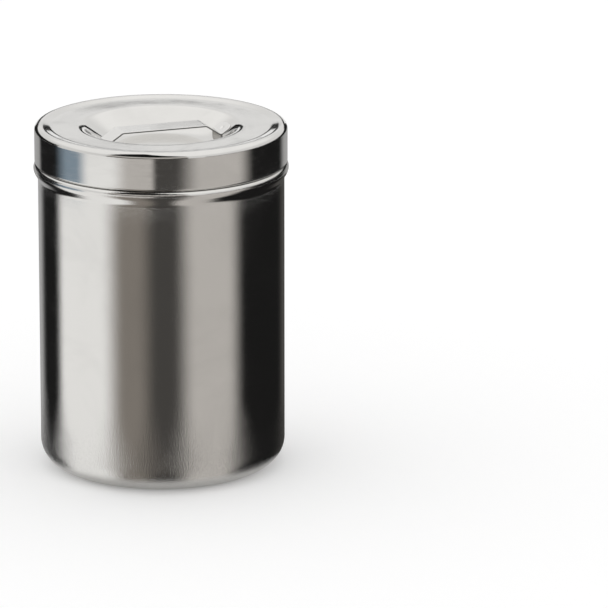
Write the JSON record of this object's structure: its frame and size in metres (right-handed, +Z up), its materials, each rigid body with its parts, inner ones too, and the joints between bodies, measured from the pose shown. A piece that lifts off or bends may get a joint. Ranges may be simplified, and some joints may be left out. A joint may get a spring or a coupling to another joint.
{
  "type": "dressing jar",
  "caption": "Tall round stainless dressing jar with a stop bead under a lift-off lid, whose dished top holds a flat strap handle.",
  "frame": {"origin": "middle of the base, on the surface that the jar stands on", "axes": "+Z up along the jar's axis, +X along the strap handle, +Y away from the front"},
  "size_m": [0.1585, 0.1584, 0.2184],
  "materials": {
    "jar_steel": "fine satin, slightly rough near the base",
    "lid_steel": "bright polished top and finely lined skirt",
    "strap_steel": "bright polished"
  },
  "bodies": {
    "jar": {"jar_body": "jar_steel"},
    "lid_with_strap": {"lid": "lid_steel", "strap_handle": "strap_steel"}
  },
  "joints": [
    {"name": "lid_lift", "type": "slide", "parent": "jar", "child": "lid_with_strap", "axis": [0, 0, 1], "range_m": [0, 0.08]}
  ]
}
